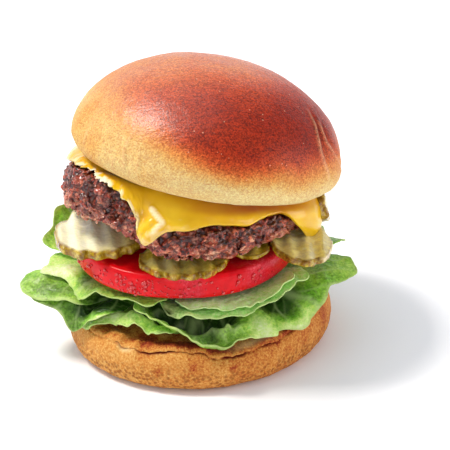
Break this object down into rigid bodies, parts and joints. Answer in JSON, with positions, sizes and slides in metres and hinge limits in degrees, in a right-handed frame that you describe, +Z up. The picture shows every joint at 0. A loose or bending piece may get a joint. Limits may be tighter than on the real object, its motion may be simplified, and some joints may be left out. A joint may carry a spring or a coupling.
{
  "type": "cheeseburger",
  "caption": "Cheeseburger standing on its heel: glazed bun, browned beef patty, melted cheese, crinkle-cut pickles, a thick tomato slice and ruffled lettuce.",
  "frame": {"origin": "middle of the flat foot of the bun's heel, on the surface the burger stands on", "axes": "+Z up through the stack, -Y towards the guest, +X to the guest's right"},
  "size_m": [0.1259, 0.1042, 0.1111],
  "materials": {
    "glazed_crust": "glossy egg-glazed brioche crust, deep brown over the dome and pale gold at its lower edge",
    "heel_crumb": "matte golden bread crust with fine pores and toasted patches",
    "lettuce_leaf": "moist green leaf, paler along its veins and ribs",
    "tomato_flesh": "wet glossy red tomato skin and flesh",
    "pickle_flesh": "wet yellow-green pickled cucumber with an olive warty skin",
    "seared_beef": "craggy browned minced beef, moist with fat",
    "melted_cheese": "smooth glossy melted yellow cheese"
  },
  "bodies": {
    "root": {"bottom_bun": "heel_crumb", "lettuce_front_left": "lettuce_leaf", "lettuce_front": "lettuce_leaf", "lettuce_right": "lettuce_leaf", "lettuce_middle": "lettuce_leaf", "lettuce_inner": "lettuce_leaf", "lettuce_top_left": "lettuce_leaf", "lettuce_left_upper": "lettuce_leaf", "lettuce_left_lower": "lettuce_leaf", "lettuce_back_left": "lettuce_leaf", "lettuce_back_right": "lettuce_leaf", "lettuce_back": "lettuce_leaf", "tomato": "tomato_flesh", "pickle_left": "pickle_flesh", "pickle_front": "pickle_flesh", "pickle_middle": "pickle_flesh", "pickle_right": "pickle_flesh", "pickle_upper": "pickle_flesh", "patty": "seared_beef", "cheese": "melted_cheese", "top_bun": "glazed_crust"}
  },
  "joints": []
}
